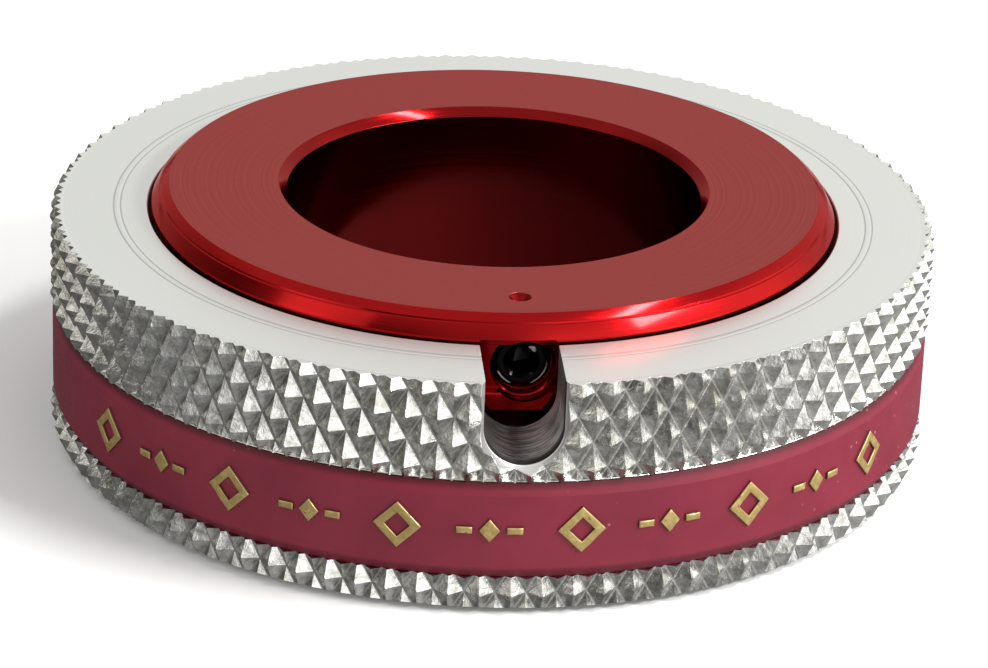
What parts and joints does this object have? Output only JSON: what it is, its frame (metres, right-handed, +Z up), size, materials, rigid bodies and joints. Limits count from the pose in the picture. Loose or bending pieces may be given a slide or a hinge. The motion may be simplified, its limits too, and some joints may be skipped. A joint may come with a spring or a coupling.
{
  "type": "height-setting collar",
  "caption": "Knurled hand ring with a grip band that turns on an anodised clamping hub, raising or lowering a round post held by a radial grub screw.",
  "frame": {"origin": "post axis, at the lower face of the slip washer the collar stands on", "axes": "+Z up along the post, towards the red hub face; the grub screw and key slot face -Y"},
  "size_m": [0.0643, 0.0642, 0.0188],
  "materials": {
    "knurled_aluminium": "bright turned and knurled, clear",
    "red_anodised": "red anodised, satin face and brighter turned edges",
    "grip_rubber": "maroon moulded rubber, matte",
    "gold_foil": "raised gold-coloured ornament, worn satin",
    "black_steel": "black oxide, oiled",
    "spring_steel": "phosphated spring steel",
    "brass": "turned",
    "nylon": "black nylon, turned",
    "acetal": "black acetal, turned"
  },
  "bodies": {
    "base": {"slip_washer": "acetal"},
    "ring": {"knurled_ring": "knurled_aluminium", "grip_band": "grip_rubber", "band_relief": "gold_foil", "drag_ring": "nylon"},
    "hub": {"hub_sleeve": "red_anodised", "retaining_ring": "spring_steel"},
    "pad": {"clamp_pad": "brass"},
    "screw": {"clamp_screw": "black_steel"}
  },
  "joints": [
    {"name": "ring_spin", "type": "hinge", "parent": "base", "child": "ring", "pos_m": [0, 0, 0], "axis": [0, 0, 1], "range_deg": [-360, 360]},
    {"name": "hub_lift", "type": "slide", "parent": "base", "child": "hub", "axis": [0, 0, 1], "range_m": [-0.0015, 0.0015]},
    {"name": "pad_push", "type": "slide", "parent": "hub", "child": "pad", "axis": [0, 1, 0], "range_m": [-0.0007, 0.0007]},
    {"name": "screw_turn", "type": "hinge", "parent": "pad", "child": "screw", "pos_m": [0, 0, 0.01505], "axis": [0, 1, 0], "range_deg": [-360, 360]}
  ],
  "couplings": [
    {"joint": "hub_lift", "follows": "ring_spin", "m_per_rad": -0.00023873},
    {"joint": "screw_turn", "follows": "pad_push", "rad_per_m": 8976}
  ]
}
